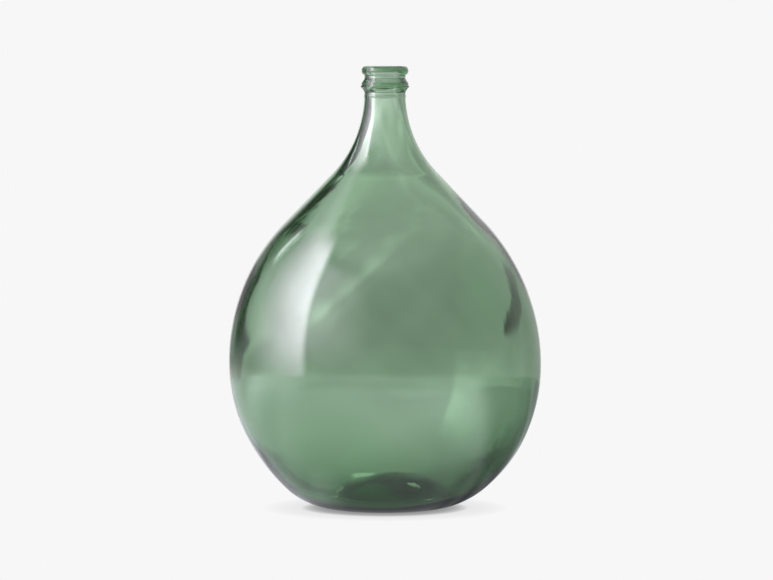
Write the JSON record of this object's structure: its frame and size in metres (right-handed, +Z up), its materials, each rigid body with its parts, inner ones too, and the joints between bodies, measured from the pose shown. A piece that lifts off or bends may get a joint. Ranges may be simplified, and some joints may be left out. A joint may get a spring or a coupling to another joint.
{
  "type": "glass carboy",
  "caption": "Empty round-shouldered carboy of pale green blown glass, with a pushed-up base, a short neck, an angular collar and a rounded lip round an open mouth.",
  "frame": {"origin": "on the bench, at the centre of the ring that the carboy stands on", "axes": "+Z up along the axis and out of the mouth; the glass is round, so X and Y are alike"},
  "size_m": [0.396, 0.396, 0.56],
  "materials": {
    "green_glass": "clear, fire-polished"
  },
  "bodies": {
    "root": {"vessel": "green_glass", "collar_ring": "green_glass", "lip_ring": "green_glass"}
  },
  "joints": []
}
